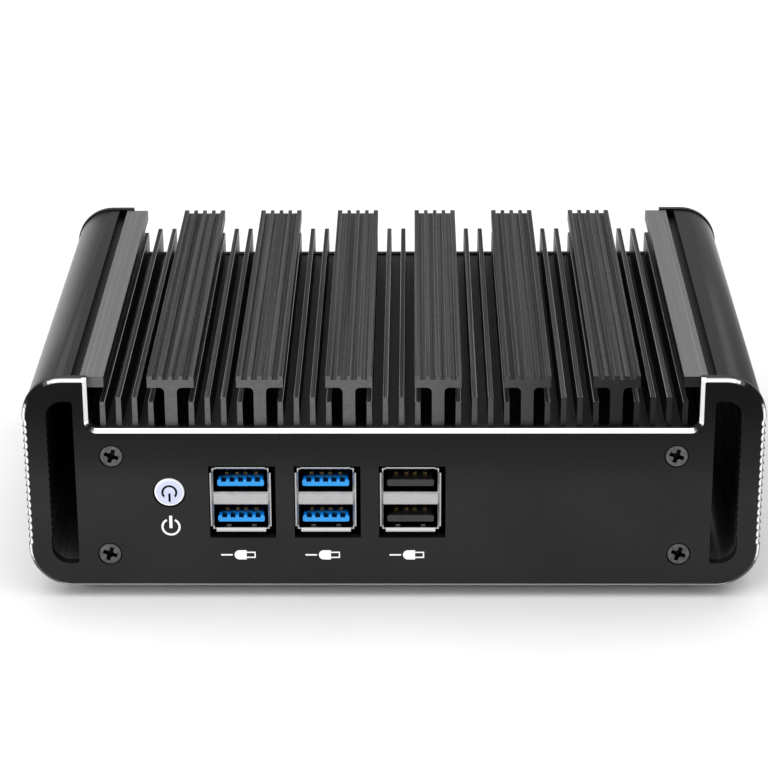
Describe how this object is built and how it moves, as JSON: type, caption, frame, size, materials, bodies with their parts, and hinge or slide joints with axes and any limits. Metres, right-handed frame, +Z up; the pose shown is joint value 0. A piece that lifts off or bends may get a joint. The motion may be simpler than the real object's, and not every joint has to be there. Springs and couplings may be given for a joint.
{
  "type": "mini pc",
  "caption": "Fanless mini PC in a black finned aluminium case, with front data ports, a lit power button, rear network and video ports and an open side channel on each side.",
  "frame": {"origin": "on the table, under the middle of the case", "axes": "+X to the right seen from the front, +Y from the front panel to the rear panel, +Z up"},
  "size_m": [0.178, 0.1272, 0.058],
  "materials": {
    "anodised_black": "black anodised extrusion, satin, with fine lines along its length",
    "panel_black": "black anodised milled plate with a fine satin grain and a bright cut chamfer round its edge",
    "cover_black": "satin black powder coat",
    "rubber_black": "dull moulded rubber",
    "screw_black": "blackened steel, slightly worn",
    "plated_steel": "bright nickel-plated sheet steel",
    "circuit_board": "green solder mask over glass laminate",
    "die_silicon": "polished silicon",
    "brass_metal": "turned brass",
    "copper_metal": "milled copper",
    "chip_black": "black moulding compound",
    "capacitor_can": "bare aluminium can",
    "plastic_black": "black moulded plastic",
    "plastic_blue": "blue moulded plastic",
    "gold_contact": "gold-plated contact",
    "button_white": "translucent white plastic lit from behind",
    "symbol_dark": "dark printed mark",
    "led_white": "clear lens",
    "led_green": "green diffused lens",
    "led_amber": "amber diffused lens"
  },
  "bodies": {
    "body": {"antenna_hole_plugs": "rubber_black", "board_standoffs": "brass_metal", "bottom_cover": "cover_black", "bottom_cover_screws": "screw_black", "coin_cell": "plated_steel", "coin_cell_holder": "plastic_black", "copper_heat_block": "copper_metal", "cpu_die": "die_silicon", "cpu_substrate": "circuit_board", "dc_jack_housing": "plastic_black", "dc_jack_pin": "gold_contact", "displayport_shell": "plated_steel", "displayport_tongue": "plastic_black", "front_panel": "panel_black", "front_panel_screws": "screw_black", "hdmi_shell": "plated_steel", "hdmi_tongue": "plastic_black", "heatsink_housing": "anodised_black", "lan_1_insert": "plastic_black", "lan_1_shell": "plated_steel", "lan_2_insert": "plastic_black", "lan_2_shell": "plated_steel", "lan_3_insert": "plastic_black", "lan_3_shell": "plated_steel", "lan_4_insert": "plastic_black", "lan_4_shell": "plated_steel", "lan_activity_leds": "led_amber", "lan_contacts": "gold_contact", "lan_controllers": "chip_black", "lan_link_leds": "led_green", "mainboard": "circuit_board", "mainboard_screws": "plated_steel", "memory_chips": "chip_black", "memory_module": "circuit_board", "memory_socket": "plastic_black", "polymer_capacitors": "capacitor_can", "power_inductors": "chip_black", "power_led": "led_white", "power_switch": "plastic_black", "rear_panel": "panel_black", "rear_panel_screws": "screw_black", "rubber_feet": "rubber_black", "sata_connector": "plastic_black", "ssd_board": "circuit_board", "ssd_chips": "chip_black", "ssd_post": "plated_steel", "ssd_screw": "plated_steel", "ssd_socket": "plastic_black", "usb2_contacts": "gold_contact", "usb2_shell": "plated_steel", "usb2_tongues": "plastic_black", "usb3_left_contacts": "gold_contact", "usb3_left_shell": "plated_steel", "usb3_left_tongues": "plastic_blue", "usb3_right_contacts": "gold_contact", "usb3_right_shell": "plated_steel", "usb3_right_tongues": "plastic_blue"},
    "power_button": {"power_button_cap": "button_white", "power_button_symbol": "symbol_dark", "power_button_plunger": "plastic_black"}
  },
  "joints": [
    {"name": "power_button_press", "type": "slide", "parent": "body", "child": "power_button", "axis": [0, 1, 0], "range_m": [0, 0.0008], "stiffness_N_per_m": 1800}
  ]
}
